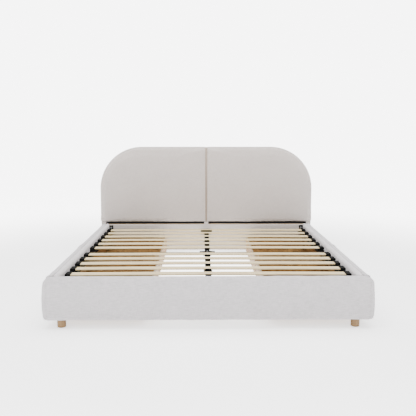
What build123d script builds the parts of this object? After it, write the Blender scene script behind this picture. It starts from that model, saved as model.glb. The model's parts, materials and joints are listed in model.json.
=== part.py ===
from build123d import *
import os

# Upholstered storage bed: padded two-panel headboard, padded foot panel, slatted steel
# frame and four drawers that pull out of the sides. Millimetres, +Z up, the headboard
# towards +Y, origin on the floor under the middle of the bed.

# overall sizes
overall_width = 2000
interior_length = 2050        # foot panel to headboard
front_bay = 995               # foot panel to the middle of the cross tube
foot_thickness = 75
headboard_thickness = 100
base_height = 325             # top of the foot panel and the drawer fronts
floor_gap = 60                # clear height under the panels
headboard_height = 1040
headboard_corner = 400        # radius of the two top corners

# headboard layers, front to back
head_pad = 58
head_board = 15
back_sheet = 3
head_rim = 12                 # padding folded round the edges of the boards
panel_seam = 2                # slot between the two upper panels
lining_height = 12
lining_inset = 20             # bare middle between the two linings, each side
lining_side = 50
upper_panel_gap = 5           # upper panels above the foot panel's top
lower_cover = 8
lower_board_depth = 18
lower_side_pad = 15
post_width = 80
post_offset = 730
post_margin = 60              # post top below the headboard's top
end_block_width = 125
panel_roll = 24
lower_roll = 7
lining_set_back = 4
sheet_margin = 4
low_screws = (150, 260)
high_screws = (420, 760)

# foot panel layers
foot_pad = 30
foot_core_depth = 39
foot_side_pad = 25
pad_over_top = 25
foot_corner = 38
foot_roll = 28

# fixed rails and steel frame
drawer_front_depth = 53
front_gap = 2
rail_depth = 20
rail_drop = 13                # rail top below the top of the foot panel
rail_height = 102
rail_roll = 8
ledger_width = 50
ledger_height = 20
ledger_drop = 70              # ledger top below the top of the foot panel
steel_wall = 1.5
cross_tube_width = 30
centre_rail_width = 31
centre_plate_half = 53
centre_plate_below = 20
centre_plate_above = 7
centre_lip_half = 22
centre_lip_reach = 45
joint_plate_half = (60, 42)
joint_bolt_offset = 45

# slats
slat_width = 70
slat_thickness = 8
slat_crown = 3
slats_per_bay = 6
slat_seat = 17                # slat underside above the ledger
cap_depth = 35
cap_side = 5
cap_height = 30
slat_in_cap = 13
slat_fit = 0.5
peg_radius = 4
peg_depth = 6
peg_hole_depth = 5
cap_gap = 8                   # cap to side rail
slat_edge = 2
centre_pad = (20, 28)         # half width across and along the bed
clip_lip = 3                  # lips along the slat's edges
clip_under = 5
end_clip_half = 52            # wider clip over the bracket at the headboard
first_slat_gap = 56           # slat middles from the foot panel, cross tube and headboard
front_slat_gap = 169
rear_slat_gap = 80
last_slat_gap = 135

# drawers
drawer_front_joint = 3
drawer_front_base = 62
front_inner_roll = 18
front_flat_top = 7
front_base_roll = 16
front_board_depth = 15
drawer_base = 66
drawer_floor = 9
drawer_top = 195
drawer_wall = 12
drawer_inner_end = 375
runner_board = 30
runner_board_overhang = 25    # boards reach further in than the drawer's inner end
runner_board_gap = 5
divider_depth = 28
runner_space = 13
runner_length = 500
runner_height = 24
runner_base = 110
runner_lap = 3                # moving strip above and below the channel
glide_half = 8
channel_open = 3              # channel edge short of the drawer wall
runner_sheet = 1.5
runner_inset = 17             # runner's outer end inside the drawer front

# feet and fasteners
leg_radius = 27
leg_inset = 100
leg_from_foot = 62
leg_plate_front = 34          # front legs' plates behind the foot face
leg_plate_rear = 28           # rear legs' plates behind the headboard's face
leg_plate_reach = 40          # plate behind a front leg's middle
leg_from_headboard = 50
leg_plate_thickness = 6
leg_plate_half = 44
glide_height = 3
glide_radius = 20
centre_leg_radius = 16
centre_foot_height = 14
centre_foot_wall = 4
centre_foot_depth = 8
centre_leg_plate = (30, 22)   # half width across and along the bed
centre_leg_plate_thickness = 4
front_centre_leg = 0.48       # part of the front bay
rear_centre_leg = 0.52        # part of the rear bay
leg_thread = 35               # bolt length inside a leg
leg_edge = 1.5
bracket_leg = 42
bracket_height = 45
bracket_sheet = 4
bracket_rise = 3              # bracket above the ledger's top
bolt_radius = 4
bolt_head_radius = 8
bolt_head_height = 4
bolt_length = 24
hole_fit = 0.2

# places worked out from the sizes
upper_panel_base = base_height + upper_panel_gap
lining_base = upper_panel_base - lining_height
front_board_top = base_height - pad_over_top
rail_top = base_height - rail_drop
rail_base = rail_top - rail_height
ledger_top = base_height - ledger_drop
bracket_base = ledger_top + bracket_rise
front_outer_roll = drawer_front_depth - front_inner_roll - front_flat_top
overall_length = foot_thickness + interior_length + headboard_thickness
side_x = overall_width / 2
foot_y = -overall_length / 2
foot_inner = foot_y + foot_thickness
head_y = foot_inner + interior_length
back_y = head_y + headboard_thickness
mid_y = foot_inner + front_bay
rail_outer = side_x - drawer_front_depth - front_gap
rail_inner = rail_outer - rail_depth
ledger_inner = rail_inner - ledger_width
ledger_base = ledger_top - ledger_height
frame_base = floor_gap + leg_plate_thickness
board_back = head_y + head_pad + head_board
sheet_front = back_y - back_sheet
slat_base = ledger_top + slat_seat
slat_centre_base = slat_base + slat_crown
cap_outer = rail_inner - cap_gap
cap_inner = cap_outer - cap_depth
slat_half = cap_inner + slat_in_cap
front_inner = side_x - drawer_front_depth
divider_outer = rail_inner - runner_board_gap
divider_inner = drawer_inner_end + runner_board_overhang
runner_outer = front_inner - runner_inset
runner_inner = runner_outer - runner_length

os.makedirs("parts", exist_ok=True)


def save(name, *solids):
    shape = solids[0] if len(solids) == 1 else Compound(children=list(solids))
    shape.label = name
    export_step(shape, "parts/" + name + ".step")


def block(x, y, z):
    """A box between pairs of x, y and z."""
    middle = Pos((x[0] + x[1]) / 2, (y[0] + y[1]) / 2, (z[0] + z[1]) / 2)
    return middle * Box(abs(x[1] - x[0]), abs(y[1] - y[0]), abs(z[1] - z[0]))


def rod_z(x, y, z, radius):
    return Pos(x, y, (z[0] + z[1]) / 2) * Cylinder(radius, z[1] - z[0])


def rod_x(x, y, z, radius):
    return Pos((x[0] + x[1]) / 2, y, z) * Rot(0, 90, 0) * Cylinder(radius, abs(x[1] - x[0]))


def rod_y(x, y, z, radius):
    return Pos(x, (y[0] + y[1]) / 2, z) * Rot(90, 0, 0) * Cylinder(radius, abs(y[1] - y[0]))


def flip(shape):
    return mirror(shape, about=Plane.YZ)


def cut(piece, tools):
    for tool in tools:
        piece -= tool
    return piece


def side_name(side):
    return "right" if side > 0 else "left"


def upright(outline, y_front, y_back):
    """Extrude an outline drawn in x and z from one y to another."""
    placed = Pos(0, y_back, 0) * Rot(90, 0, 0) * outline
    return extrude(placed, y_back - y_front)


def panel_outline(x, z, corner):
    """Right-hand panel outline with its top outer corner rounded."""
    face = Pos((x[0] + x[1]) / 2, (z[0] + z[1]) / 2) * Rectangle(x[1] - x[0], z[1] - z[0])
    top_outer = face.vertices().sort_by(lambda v: v.X + v.Y)[-1]
    return fillet(top_outer, corner)


# headboard

def headboard_panel():
    """Right upper pad, folded back round its board."""
    inner_x = panel_seam / 2
    top = headboard_height
    outline = panel_outline((inner_x, side_x), (upper_panel_base, top), headboard_corner)
    pad = upright(outline, head_y, sheet_front)
    front_edges = pad.faces().sort_by(Axis.Y)[0].edges()
    pad = fillet(front_edges, panel_roll)
    board_y = head_y + head_pad
    pocket = panel_outline(
        (inner_x + head_rim, side_x - head_rim),
        (upper_panel_base - 1, top - head_rim),
        headboard_corner - head_rim,
    )
    frame_pocket = panel_outline(
        (inner_x - 1, side_x - head_rim),
        (upper_panel_base - 1, top - head_rim),
        headboard_corner - head_rim,
    )
    return pad - upright(pocket, board_y, board_back) - upright(frame_pocket, board_back, back_y)


def headboard_board():
    outline = panel_outline(
        (panel_seam / 2 + head_rim, side_x - head_rim),
        (upper_panel_base, headboard_height - head_rim),
        headboard_corner - head_rim,
    )
    return upright(outline, head_y + head_pad, board_back)


def headboard_back_sheet():
    right = panel_outline(
        (0, side_x - sheet_margin),
        (frame_base, headboard_height - sheet_margin),
        headboard_corner - sheet_margin,
    )
    sheet = upright(right, sheet_front, back_y)
    return sheet + flip(sheet)


def headboard_posts():
    top = headboard_height - post_margin
    posts = []
    for x in (-post_offset, 0, post_offset):
        half = post_width / 2
        posts.append(block((x - half, x + half), (board_back, sheet_front), (frame_base, top)))
    return posts


def lower_blocks():
    """Blocks between the lower board and the posts, with end blocks over the rear legs."""
    y = (head_y + lower_cover + lower_board_depth, board_back)
    z = (frame_base, lining_base)
    blocks = []
    for x in (-post_offset, 0, post_offset):
        blocks.append(block((x - post_width / 2, x + post_width / 2), y, z))
    outer = side_x - lower_side_pad
    blocks.append(block((outer - end_block_width, outer), y, z))
    blocks.append(block((-outer, end_block_width - outer), y, z))
    return blocks


def lower_board():
    outer = side_x - lower_side_pad
    y = (head_y + lower_cover, head_y + lower_cover + lower_board_depth)
    return block((-outer, outer), y, (frame_base, lining_base))


def lower_cover_pad():
    """Thin padding over the front and the two ends of the lower board."""
    top = lining_base
    outer = side_x - lower_side_pad
    whole = block((-side_x, side_x), (head_y, sheet_front), (floor_gap, top))
    whole = fillet(whole.edges().filter_by(Axis.Z).group_by(Axis.Y)[0], lower_roll)
    inside = block((-outer, outer), (head_y + lower_cover, back_y), (0, top + 1))
    return whole - inside


def headboard_lining():
    z = (lining_base, upper_panel_base)
    return block((lining_inset, side_x - lining_side), (head_y + lining_set_back, board_back), z)


def make_headboard():
    panel = headboard_panel()
    save("headboard_panel_right", panel)
    save("headboard_panel_left", flip(panel))
    board = headboard_board()
    save("headboard_board_right", board)
    save("headboard_board_left", flip(board))
    lining = headboard_lining()
    save("headboard_linings", lining, flip(lining))
    posts = headboard_posts()
    screws = []
    for i, x in enumerate((-post_offset, 0, post_offset)):
        heights = low_screws if x == 0 else low_screws + high_screws
        for z in heights:
            screws.append((i, x, z))
    y = (board_back, sheet_front - bolt_head_height)
    made = []
    for i, x, z in screws:
        shank = rod_y(x, y, z, bolt_radius)
        head = rod_y(x, (y[1], sheet_front), z, bolt_head_radius)
        posts[i] = posts[i] - shank - head
        made.append(shank + head)
    save("headboard_posts", *posts)
    save("headboard_screws", *made)
    blocks = lower_blocks()
    leg_shanks = [leg_bolt(side, head_y + leg_from_headboard) for side in (-1, 1)]
    save("headboard_spacer_blocks", *[cut(piece, leg_shanks) for piece in blocks])
    end_shanks = bracket_bolts()[1]
    save("headboard_lower_board", cut(lower_board(), end_shanks))
    save("headboard_lower_cover", cut(lower_cover_pad(), end_shanks))
    save("headboard_back_sheet", headboard_back_sheet())


# foot panel

def runner_board_at(y):
    """Right-hand board that carries a runner channel on an end panel."""
    return block((divider_inner, divider_outer), y, (frame_base, drawer_top))


def foot_core_box():
    x = side_x - foot_side_pad
    y = (foot_y + foot_pad, foot_y + foot_pad + foot_core_depth)
    return block((-x, x), y, (frame_base, base_height - pad_over_top))


def foot_padding():
    whole = block((-side_x, side_x), (foot_y, foot_inner), (floor_gap, base_height))
    corners = whole.edges().filter_by(Axis.Z).group_by(Axis.Y)[0]
    whole = fillet(corners, foot_corner)
    top_edges = whole.faces().sort_by(Axis.Z)[-1].edges()
    whole = fillet(top_edges, foot_roll)
    x = side_x - foot_side_pad
    under = block((-x, x), (foot_y + foot_pad, foot_inner + 1), (0, frame_base))
    return whole - foot_core_box() - under


def make_foot_panel():
    end_shanks = bracket_bolts()[1]
    leg_shanks = [leg_bolt(side, foot_y + leg_from_foot) for side in (-1, 1)]
    save("foot_panel_padding", cut(foot_padding(), end_shanks))
    save("foot_panel_core", cut(foot_core_box(), end_shanks + leg_shanks))
    board = runner_board_at((foot_inner, foot_inner + runner_board))
    save("foot_runner_boards", board, flip(board))


# rails, brackets and steel frame

def corner_bracket(at_foot):
    """Right-hand angle between the side rail and an end panel, without its holes."""
    y_end = foot_inner if at_foot else head_y
    way = 1 if at_foot else -1
    z = (bracket_base, bracket_base + bracket_height)
    along_rail = block((rail_inner - bracket_sheet, rail_inner), (y_end, y_end + way * bracket_leg), z)
    on_panel = block((rail_inner - bracket_leg, rail_inner), (y_end, y_end + way * bracket_sheet), z)
    return along_rail + on_panel


def bracket_bolts():
    """Right-hand bracket bolts: whole bolts, and the shanks that enter each end panel."""
    z = bracket_base + bracket_height / 2
    offset = bracket_leg / 2 + bracket_sheet / 2
    bolts = []
    end_shanks = []
    for y_end, way in ((foot_inner, 1), (head_y, -1)):
        x_face = rail_inner - bracket_sheet
        y = y_end + way * offset
        shank = rod_x((x_face, rail_inner + rail_depth - 4), y, z, bolt_radius)
        head = rod_x((x_face - bolt_head_height, x_face), y, z, bolt_head_radius)
        bolts.append(shank + head)
        y_face = y_end + way * bracket_sheet
        x = rail_inner - offset
        depth = bracket_sheet + bolt_length
        shank = rod_y(x, (y_face - way * depth, y_face), z, bolt_radius)
        head = rod_y(x, (y_face, y_face + way * bolt_head_height), z, bolt_head_radius)
        bolts.append(shank + head)
        end_shanks.append(shank)
        end_shanks.append(flip(shank))
    return bolts, end_shanks


def side_rail(bolts):
    rail = block((rail_inner, rail_outer), (foot_inner, head_y), (rail_base, rail_top))
    top_edges = rail.faces().sort_by(Axis.Z)[-1].edges().filter_by(Axis.Y)
    return cut(fillet(top_edges, rail_roll), bolts)


def slat_places():
    """Middles of the slats along the bed, foot end first."""
    front = (foot_inner + first_slat_gap, mid_y - front_slat_gap)
    rear = (mid_y + rear_slat_gap, head_y - last_slat_gap)
    places = []
    for start, stop in (front, rear):
        step = (stop - start) / (slats_per_bay - 1)
        places.append([start + step * i for i in range(slats_per_bay)])
    return places


def tube_y(x, y, z):
    """Rectangular steel tube along y."""
    outer = block(x, y, z)
    wall = steel_wall
    inner = block((x[0] + wall, x[1] - wall), (y[0] - 1, y[1] + 1), (z[0] + wall, z[1] - wall))
    return outer - inner


def ledger():
    tube = tube_y((ledger_inner, rail_inner), (foot_inner, head_y), (ledger_base, ledger_top))
    x = (cap_inner + cap_outer) / 2
    for bay in slat_places():
        for y in bay:
            tube -= rod_z(x, y, (ledger_top - peg_hole_depth, ledger_top + 1), peg_radius + hole_fit)
    return tube


def cross_tube():
    half = cross_tube_width / 2
    wall = steel_wall
    x = ledger_inner
    outer = block((-x, x), (mid_y - half, mid_y + half), (ledger_base, ledger_top))
    inner = block((-x - 1, x + 1), (mid_y - half + wall, mid_y + half - wall),
                  (ledger_base + wall, ledger_top - wall))
    return outer - inner


def mid_plate_bolts():
    """Four bolts that hold the joint plate to the cross tube and the centre rails."""
    bolts = []
    places = [(-joint_bolt_offset, 0), (joint_bolt_offset, 0), (0, -cross_tube_width), (0, cross_tube_width)]
    top = ledger_top + bracket_sheet
    for x, y in places:
        shank = rod_z(x, mid_y + y, (ledger_top - peg_depth, top), bolt_radius)
        bolts.append(shank + rod_z(x, mid_y + y, (top, top + bolt_head_height), bolt_head_radius))
    return bolts


def centre_rails():
    half = centre_rail_width / 2
    z = (ledger_base, ledger_top)
    gap = cross_tube_width / 2
    front = tube_y((-half, half), (foot_inner + bracket_sheet, mid_y - gap), z)
    rear = tube_y((-half, half), (mid_y + gap, head_y - bracket_sheet), z)
    return front, rear


def centre_bracket(at_foot):
    """Plate on an end panel with a lip under the centre rail."""
    y_end = foot_inner if at_foot else head_y
    way = 1 if at_foot else -1
    z = (ledger_base - centre_plate_below, ledger_top + centre_plate_above)
    half = centre_plate_half
    plate = block((-half, half), (y_end, y_end + way * bracket_sheet), z)
    half = centre_lip_half
    z = (ledger_base - bracket_sheet, ledger_base)
    lip = block((-half, half), (y_end, y_end + way * centre_lip_reach), z)
    return plate + lip


def centre_legs():
    """Three steel legs under the centre rails, each standing in a plastic foot."""
    legs = []
    feet = []
    neck = ledger_base - centre_leg_plate_thickness
    socket = centre_foot_height - centre_foot_depth
    half_x, half_y = centre_leg_plate
    front_y = foot_inner + front_bay * front_centre_leg
    rear_y = mid_y + (head_y - mid_y) * rear_centre_leg
    for y in (front_y, mid_y, rear_y):
        leg = rod_z(0, y, (socket, neck), centre_leg_radius)
        plate = block((-half_x, half_x), (y - half_y, y + half_y), (neck, ledger_base))
        legs.append(leg + plate)
        cup = rod_z(0, y, (0, centre_foot_height), centre_leg_radius + centre_foot_wall)
        feet.append(cup - rod_z(0, y, (socket, centre_foot_height + 1), centre_leg_radius))
    return legs, feet


def make_frame():
    bolts = bracket_bolts()[0]
    rail = side_rail(bolts)
    save("side_rail_right", rail)
    save("side_rail_left", flip(rail))
    brackets = []
    for at_foot in (True, False):
        bracket = cut(corner_bracket(at_foot), bolts)
        brackets += [bracket, flip(bracket)]
    save("corner_brackets", *brackets)
    tube = ledger()
    save("slat_ledger_right", tube)
    save("slat_ledger_left", flip(tube))
    half_x, half_y = joint_plate_half
    z = (ledger_top, ledger_top + bracket_sheet)
    plate = block((-half_x, half_x), (mid_y - half_y, mid_y + half_y), z)
    cross = cross_tube()
    front, rear = centre_rails()
    plate_bolts = mid_plate_bolts()
    save("cross_tube", cut(cross, plate_bolts))
    save("centre_rail_front", cut(front, plate_bolts))
    save("centre_rail_rear", cut(rear, plate_bolts))
    save("centre_joint_plate", cut(plate, plate_bolts))
    save("frame_bolts", *bolts, *[flip(bolt) for bolt in bolts], *plate_bolts)
    save("centre_rail_brackets", centre_bracket(True), centre_bracket(False))
    legs, feet = centre_legs()
    save("centre_legs", *legs)
    save("centre_leg_feet", *feet)


# slats

def slat(y):
    """A sprung slat with rounded edges, crowned along its length."""
    middle = slat_base + slat_thickness / 2
    crown = ThreePointArc((-slat_half, y, middle), (0, y, middle + slat_crown), (slat_half, y, middle))
    start = Plane(crown @ 0, x_dir=(0, 1, 0), z_dir=crown % 0)
    section = start * RectangleRounded(slat_width, slat_thickness, slat_edge)
    return sweep(section, crown)


def slat_cap(y):
    """Right-hand plastic cap with a pocket for the slat and a peg in the ledger."""
    half = slat_width / 2 + cap_side
    body = block((cap_inner, cap_outer), (y - half, y + half), (ledger_top, ledger_top + cap_height))
    body = fillet(body.edges().filter_by(Axis.Z), 3)
    body = fillet(body.faces().sort_by(Axis.Z)[-1].edges(), 2)
    reach = slat_width / 2 + slat_fit
    z = (slat_base - slat_fit, slat_base + slat_thickness + 2 * slat_fit)
    pocket = block((cap_inner - 1, slat_half + slat_fit), (y - reach, y + reach), z)
    peg = rod_z((cap_inner + cap_outer) / 2, y, (ledger_top - peg_depth, ledger_top), peg_radius)
    return body - pocket + peg


def centre_clip(y, half_x):
    """Plastic rest on the centre rail, with lips that hold a slat by its edges."""
    rest_x, rest_y = centre_pad
    seat = slat_centre_base - 0.1
    rest = block((-rest_x, rest_x), (y - rest_y, y + rest_y), (ledger_top, seat))
    rest = fillet(rest.edges().filter_by(Axis.Z), 4)
    reach = slat_width / 2 + slat_fit
    outer = reach + clip_lip
    top = slat_centre_base + slat_thickness
    tray = block((-half_x, half_x), (y - outer, y + outer), (seat - clip_under, top))
    pocket = block((-half_x - 1, half_x + 1), (y - reach, y + reach), (seat, top + 1))
    return rest + (tray - pocket)


def make_slats():
    front, rear = slat_places()
    for name, bay in (("front", front), ("rear", rear)):
        save("slats_" + name, *[slat(y) for y in bay])
    caps = [slat_cap(y) for y in front + rear]
    save("slat_caps_right", *caps)
    save("slat_caps_left", *[flip(cap) for cap in caps])
    middles = front + rear
    clips = [centre_clip(y, centre_pad[0]) for y in middles[:-1]]
    save("centre_slat_pads", *clips, centre_clip(middles[-1], end_clip_half))


# drawers

def front_pad(y):
    """Right-hand padding of a drawer front: face, rolled top and folded lower edge."""
    back = front_inner + front_board_depth
    with BuildSketch() as profile:
        with BuildLine():
            Polyline(
                (back, floor_gap), (side_x, floor_gap), (side_x, base_height),
                (front_inner, base_height), (front_inner, front_board_top),
                (back, front_board_top), close=True,
            )
        make_face()
        points = profile.vertices()
        fillet(points.filter_by(lambda v: v.X > side_x - 1 and v.Y > base_height - 1), front_outer_roll)
        points = profile.vertices()
        fillet(points.filter_by(lambda v: v.X < front_inner + 1 and v.Y > base_height - 1), front_inner_roll)
        points = profile.vertices()
        fillet(points.filter_by(lambda v: v.X > side_x - 1 and v.Y < floor_gap + 1), front_base_roll)
    return upright(profile.sketch, y[0], y[1])


def drawer_walls(y):
    """Two side walls and two end walls, right-hand drawer."""
    z = (drawer_base + drawer_floor, drawer_top)
    x = (drawer_inner_end, front_inner)
    wall = drawer_wall
    inner_y = (y[0] + wall, y[1] - wall)
    return [
        block(x, (y[0], y[0] + wall), z),
        block(x, (y[1] - wall, y[1]), z),
        block((x[0], x[0] + wall), inner_y, z),
        block((x[1] - wall, x[1]), inner_y, z),
    ]


def fixed_channel(face_y, way):
    """C-shaped channel on a board's face, open towards the drawer."""
    sheet = runner_sheet
    x = (runner_inner, runner_outer)
    z0 = runner_base
    z1 = runner_base + runner_height
    depth = runner_space - channel_open
    web = block(x, (face_y, face_y + way * sheet), (z0, z1))
    low = block(x, (face_y, face_y + way * depth), (z0, z0 + sheet))
    high = block(x, (face_y, face_y + way * depth), (z1 - sheet, z1))
    return web + low + high


def moving_runner(wall_y, way):
    """Strip on the drawer's wall with a glide bar that runs in the channel."""
    x = (runner_inner, runner_outer)
    middle = runner_base + runner_height / 2
    web_z = (runner_base - runner_lap, runner_base + runner_height + runner_lap)
    web = block(x, (wall_y, wall_y + way * runner_sheet), web_z)
    depth = runner_space - channel_open
    bar = block(x, (wall_y, wall_y + way * depth), (middle - glide_half, middle + glide_half))
    return web + bar


def make_drawer(place, side, front_y, box_y):
    """One drawer: padded front, front board, walls, bottom and its two runners."""
    turn = (lambda s: s) if side > 0 else flip
    name = "drawer_" + place + "_" + side_name(side) + "_"
    save(name + "pad", turn(front_pad(front_y)))
    board = block((front_inner, front_inner + front_board_depth), front_y,
                  (drawer_front_base, front_board_top))
    save(name + "front_board", turn(board))
    save(name + "walls", *[turn(wall) for wall in drawer_walls(box_y)])
    bottom = block((drawer_inner_end, front_inner), box_y, (drawer_base, drawer_base + drawer_floor))
    save(name + "bottom", turn(bottom))
    runners = [moving_runner(box_y[0], -1), moving_runner(box_y[1], 1)]
    save(name + "runners", *[turn(runner) for runner in runners])


def make_drawers():
    joint = drawer_front_joint / 2
    half = divider_depth / 2
    front_range = (foot_inner + front_gap, mid_y - joint)
    rear_range = (mid_y + joint, head_y - drawer_front_joint)
    front_box = (foot_inner + runner_board + runner_space, mid_y - half - runner_space)
    rear_box = (mid_y + half + runner_space, head_y - runner_board - runner_space)
    for side in (-1, 1):
        make_drawer("front", side, front_range, front_box)
        make_drawer("rear", side, rear_range, rear_box)
    divider = block((divider_inner, divider_outer), (mid_y - half, mid_y + half),
                    (frame_base, ledger_base))
    save("drawer_dividers", divider, flip(divider))
    board = runner_board_at((head_y - runner_board, head_y))
    save("head_runner_boards", board, flip(board))
    channels = [
        fixed_channel(foot_inner + runner_board, 1),
        fixed_channel(mid_y - half, -1),
        fixed_channel(mid_y + half, 1),
        fixed_channel(head_y - runner_board, -1),
    ]
    save("runner_channels", *channels, *[flip(channel) for channel in channels])


# legs

def leg_bolt(side, y):
    """Double-ended bolt from a leg, through its plate and into the wood above."""
    x = side * (side_x - leg_inset)
    return rod_z(x, y, (floor_gap - leg_thread, frame_base + bolt_length), bolt_radius)


def make_legs():
    plates = []
    bolts = []
    glides = []
    front_y = foot_y + leg_from_foot
    front_plate = (foot_y + leg_plate_front, front_y + leg_plate_reach)
    rear_plate = (head_y + leg_plate_rear, board_back - 1)
    rows = (("front", front_y, front_plate), ("rear", head_y + leg_from_headboard, rear_plate))
    for row, y, plate_y in rows:
        legs = []
        for side in (-1, 1):
            x = side * (side_x - leg_inset)
            leg = rod_z(x, y, (glide_height, floor_gap), leg_radius)
            leg = fillet(leg.edges().filter_by(GeomType.CIRCLE), leg_edge)
            bolt = leg_bolt(side, y)
            legs.append(leg - bolt)
            plate = block((x - leg_plate_half, x + leg_plate_half), plate_y, (floor_gap, frame_base))
            plates.append(plate - bolt)
            bolts.append(bolt)
            glides.append(rod_z(x, y, (0, glide_height), glide_radius))
        save("legs_" + row, *legs)
    save("leg_plates", *plates)
    save("leg_bolts", *bolts)
    save("leg_glides", *glides)


make_headboard()
make_foot_panel()
make_frame()
make_slats()
make_drawers()
make_legs()
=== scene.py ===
import json
import math
import bmesh
import bpy
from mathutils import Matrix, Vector, noise
from mathutils.bvhtree import BVHTree


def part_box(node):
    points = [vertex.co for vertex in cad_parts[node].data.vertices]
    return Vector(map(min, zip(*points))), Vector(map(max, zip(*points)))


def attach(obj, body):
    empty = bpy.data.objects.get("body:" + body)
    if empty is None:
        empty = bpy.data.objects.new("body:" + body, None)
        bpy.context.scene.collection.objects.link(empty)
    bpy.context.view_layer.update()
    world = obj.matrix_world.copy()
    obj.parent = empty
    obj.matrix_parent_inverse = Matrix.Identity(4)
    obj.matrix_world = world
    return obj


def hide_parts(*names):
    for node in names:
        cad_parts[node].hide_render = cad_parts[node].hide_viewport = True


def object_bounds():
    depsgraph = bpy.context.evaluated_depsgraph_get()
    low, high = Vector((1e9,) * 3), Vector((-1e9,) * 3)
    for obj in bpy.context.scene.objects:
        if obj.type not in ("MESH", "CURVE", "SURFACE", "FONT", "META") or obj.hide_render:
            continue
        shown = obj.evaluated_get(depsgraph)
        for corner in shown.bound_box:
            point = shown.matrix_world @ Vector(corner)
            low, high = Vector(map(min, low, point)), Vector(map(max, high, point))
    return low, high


# An upholstered storage bed, in metres: x across it, y towards the headboard, z up.
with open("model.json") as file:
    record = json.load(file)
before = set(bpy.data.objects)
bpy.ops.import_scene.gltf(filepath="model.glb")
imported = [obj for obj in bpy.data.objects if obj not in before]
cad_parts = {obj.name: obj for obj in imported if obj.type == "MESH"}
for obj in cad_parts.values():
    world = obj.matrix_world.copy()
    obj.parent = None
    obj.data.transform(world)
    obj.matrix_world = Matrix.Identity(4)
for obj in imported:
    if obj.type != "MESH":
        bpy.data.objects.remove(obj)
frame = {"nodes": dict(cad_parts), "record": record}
record = frame["record"]
cadLow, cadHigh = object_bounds()
scene = bpy.context.scene


# A node socket that takes part in shader maths with plain operators.
class Wire:
    def __init__(self, tree, socket):
        self.tree = tree
        self.socket = socket

    def kind(self, part):
        if isinstance(part, Wire):
            return part.socket.type
        return "VALUE" if isinstance(part, (int, float)) else "VECTOR"

    def pair(self, other, operation, swapped=False):
        first, second = (other, self) if swapped else (self, other)
        kinds = [self.kind(part) for part in (first, second)]
        if "RGBA" in kinds:
            settings = {"data_type": "RGBA", "blend_type": operation}
            inputs = {0: 1.0, 6: first, 7: second}
            return self.tree.node("ShaderNodeMix", settings, inputs, 2)
        kind = "ShaderNodeVectorMath" if "VECTOR" in kinds else "ShaderNodeMath"
        return self.tree.node(kind, {"operation": operation}, {0: first, 1: second})

    def __add__(self, other):
        return self.pair(other, "ADD")

    def __radd__(self, other):
        return self.pair(other, "ADD", True)

    def __sub__(self, other):
        return self.pair(other, "SUBTRACT")

    def __rsub__(self, other):
        return self.pair(other, "SUBTRACT", True)

    def __mul__(self, other):
        return self.pair(other, "MULTIPLY")

    def __rmul__(self, other):
        return self.pair(other, "MULTIPLY", True)

    def __truediv__(self, other):
        return self.pair(other, "DIVIDE")

    def __rtruediv__(self, other):
        return self.pair(other, "DIVIDE", True)

    def to(self, operation):
        return self.tree.node("ShaderNodeMath", {"operation": operation}, {0: self})

    def mapped(self, low, high, newLow=0.0, newHigh=1.0):
        inputs = {0: self, 1: low, 2: high, 3: newLow, 4: newHigh}
        return self.tree.node("ShaderNodeMapRange", {"interpolation_type": "SMOOTHSTEP"}, inputs)

    def axes(self):
        split = self.tree.node("ShaderNodeSeparateXYZ", {}, {0: self})
        return [Wire(self.tree, output) for output in split.socket.node.outputs]


# One material: makes nodes by type, settings first and then inputs.
class Finish:
    def __init__(self, name):
        self.material = bpy.data.materials.new(name)
        self.material.use_nodes = True
        self.nodes = self.material.node_tree.nodes
        self.links = self.material.node_tree.links
        self.shader = self.nodes["Principled BSDF"]

    def put(self, socket, value):
        if isinstance(value, Wire):
            self.links.new(value.socket, socket)
            return
        if socket.type == "RGBA":
            value = (*value, 1.0)
        elif socket.type == "VECTOR" and isinstance(value, (int, float)):
            value = (value, value, value)
        socket.default_value = value

    def node(self, kind, settings, inputs, output=0):
        made = self.nodes.new(kind)
        for name, value in settings.items():
            setattr(made, name, value)
        for key, value in inputs.items():
            self.put(made.inputs[key], value)
        return Wire(self, made.outputs[output])

    def place(self):
        return self.node("ShaderNodeTexCoord", {}, {}, 3)

    def noise(self, vector, scale, detail=3.0, rough=0.5):
        inputs = {"Vector": vector, "Scale": scale, "Detail": detail, "Roughness": rough}
        return self.node("ShaderNodeTexNoise", {}, inputs)

    def mix(self, factor, first, second):
        inputs = {0: factor, 6: first, 7: second}
        return self.node("ShaderNodeMix", {"data_type": "RGBA"}, inputs, 2)

    def join(self, x, y, z):
        return self.node("ShaderNodeCombineXYZ", {}, {0: x, 1: y, 2: z})

    def bump(self, height, distance, strength=1.0, normal=None):
        inputs = {"Height": height, "Distance": distance, "Strength": strength}
        if normal is not None:
            inputs["Normal"] = normal
        return self.node("ShaderNodeBump", {}, inputs)

    def finish(self, **values):
        for name, value in values.items():
            self.put(self.shader.inputs[name.replace("_", " ")], value)
        return self.material


weave = {
    "wanderScale": 26.0, "lean": 0.97, "slubFine": 420.0, "slubLong": 26.0, "fuzzScale": 900.0,
    "napScale": 7.0, "patchScale": 34.0, "patchRelief": 0.0035, "rippleScale": (34.0, 11.0, 190.0),
    "rippleRelief": 12.0,
}


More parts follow.
